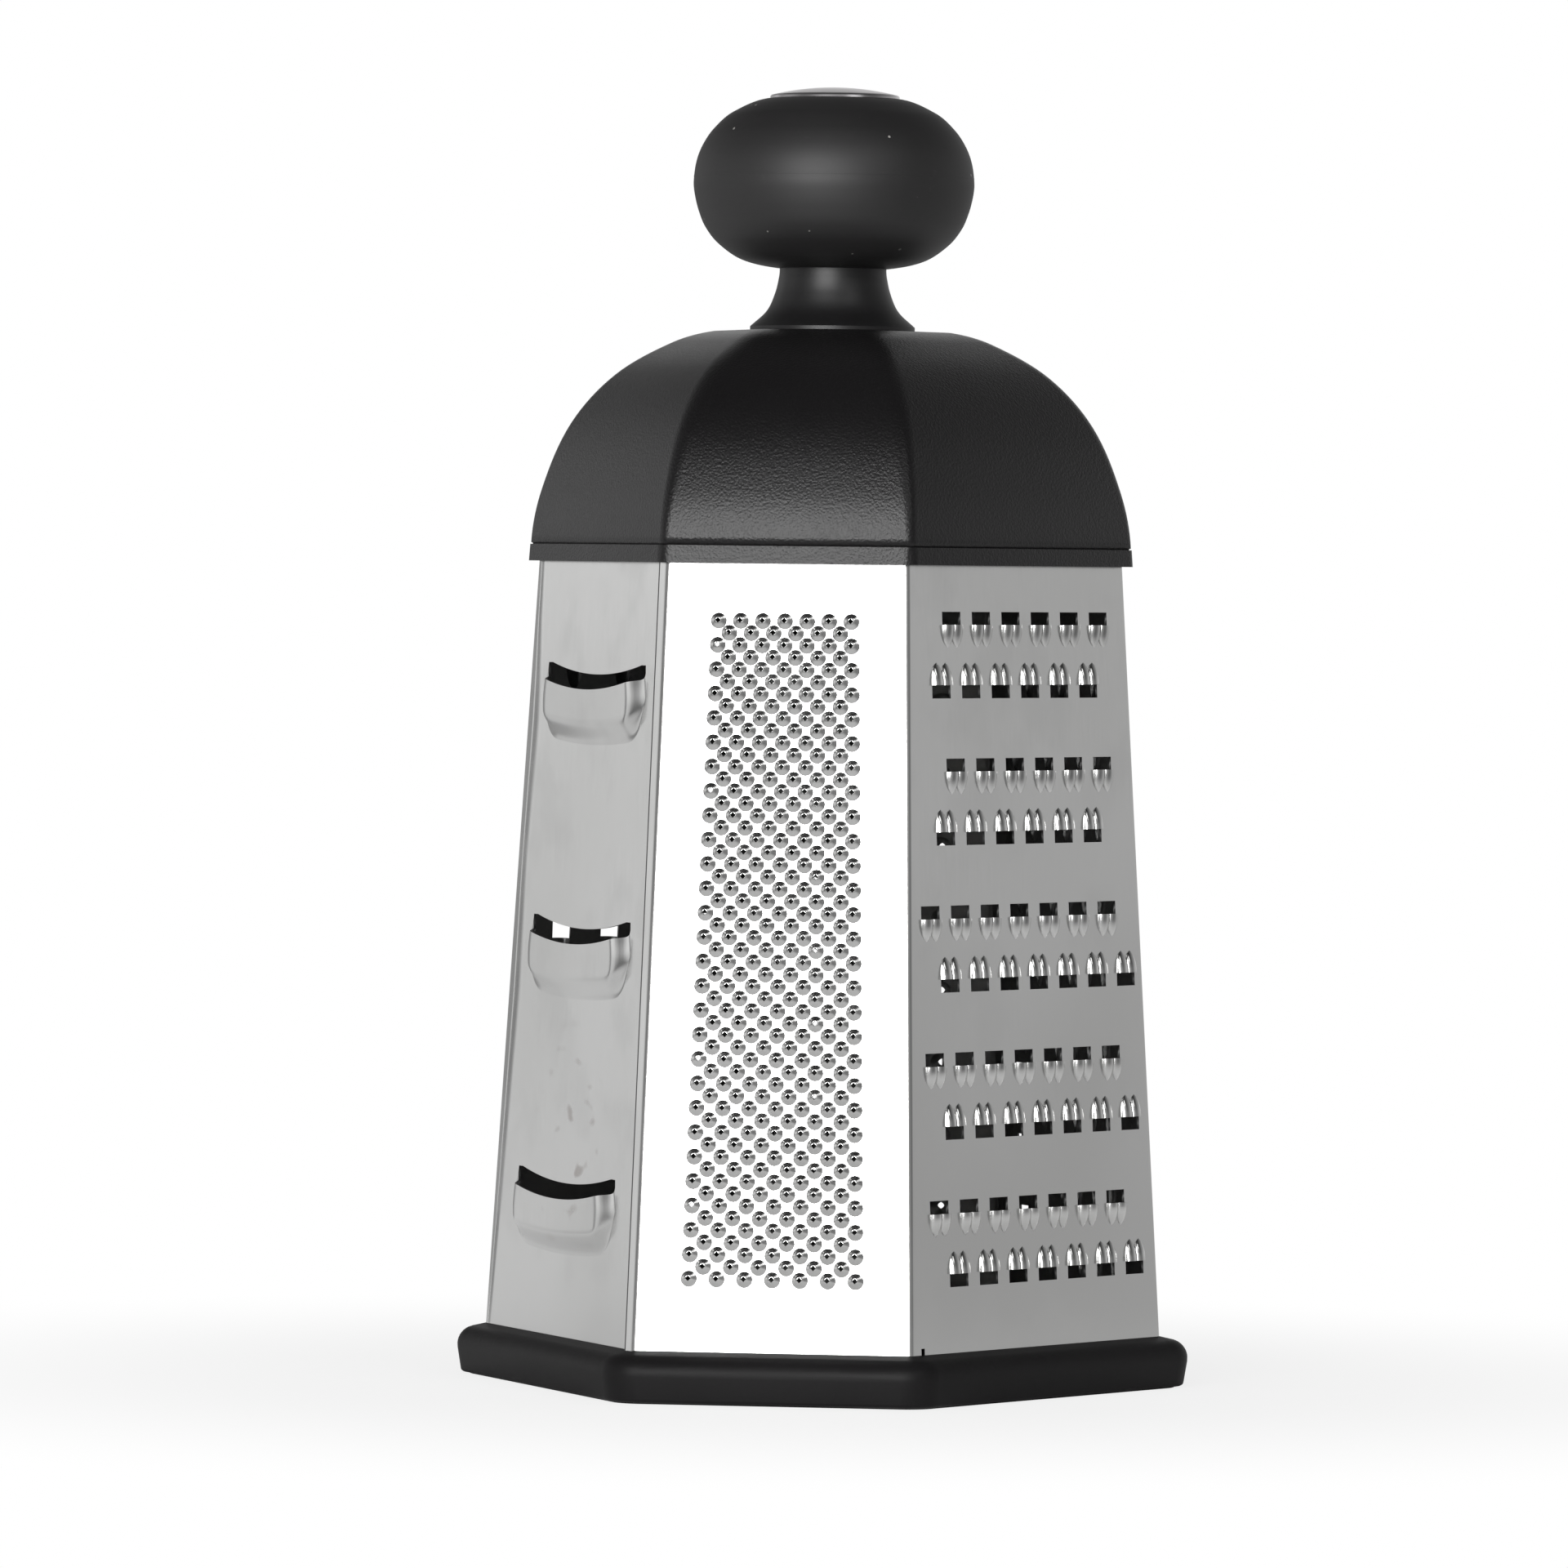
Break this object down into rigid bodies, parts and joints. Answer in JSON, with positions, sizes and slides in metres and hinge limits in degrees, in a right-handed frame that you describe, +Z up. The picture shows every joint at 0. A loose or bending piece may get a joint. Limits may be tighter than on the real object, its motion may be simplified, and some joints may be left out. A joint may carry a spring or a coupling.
{
  "type": "box grater",
  "caption": "Tapered box grater of bent steel sheet with a black dome, a round knob and a base ring; fine, slicing, shredding and rasping faces round a hollow body.",
  "frame": {"origin": "middle of the foot, on the surface that the grater stands on", "axes": "+Z up through the knob; the fine face looks along -Y; the two side corners of the body lie on the X axis"},
  "size_m": [0.1368, 0.1424, 0.24],
  "materials": {
    "polished_steel": "polished stainless steel sheet",
    "grained_plastic": "fine leather-like grain",
    "base_plastic": "satin",
    "smooth_plastic": "half gloss",
    "soft_grip": "soft-touch matte",
    "soft_rubber": "matte",
    "polished_disc": "mirror polish",
    "zinc_steel": "zinc plated",
    "insert_brass": "machined"
  },
  "bodies": {
    "root": {"base_ring": "base_plastic", "non_slip_foot": "soft_rubber", "front_blade_sheet": "polished_steel", "rear_blade_sheet": "polished_steel", "rim_frame": "grained_plastic", "dome_cover": "grained_plastic", "cover_screws": "zinc_steel", "knob_neck": "smooth_plastic", "knob_core": "base_plastic", "knob_grip": "soft_grip", "knob_disc": "polished_disc", "threaded_insert": "insert_brass", "through_bolt": "zinc_steel", "bolt_washer": "zinc_steel"}
  },
  "joints": []
}
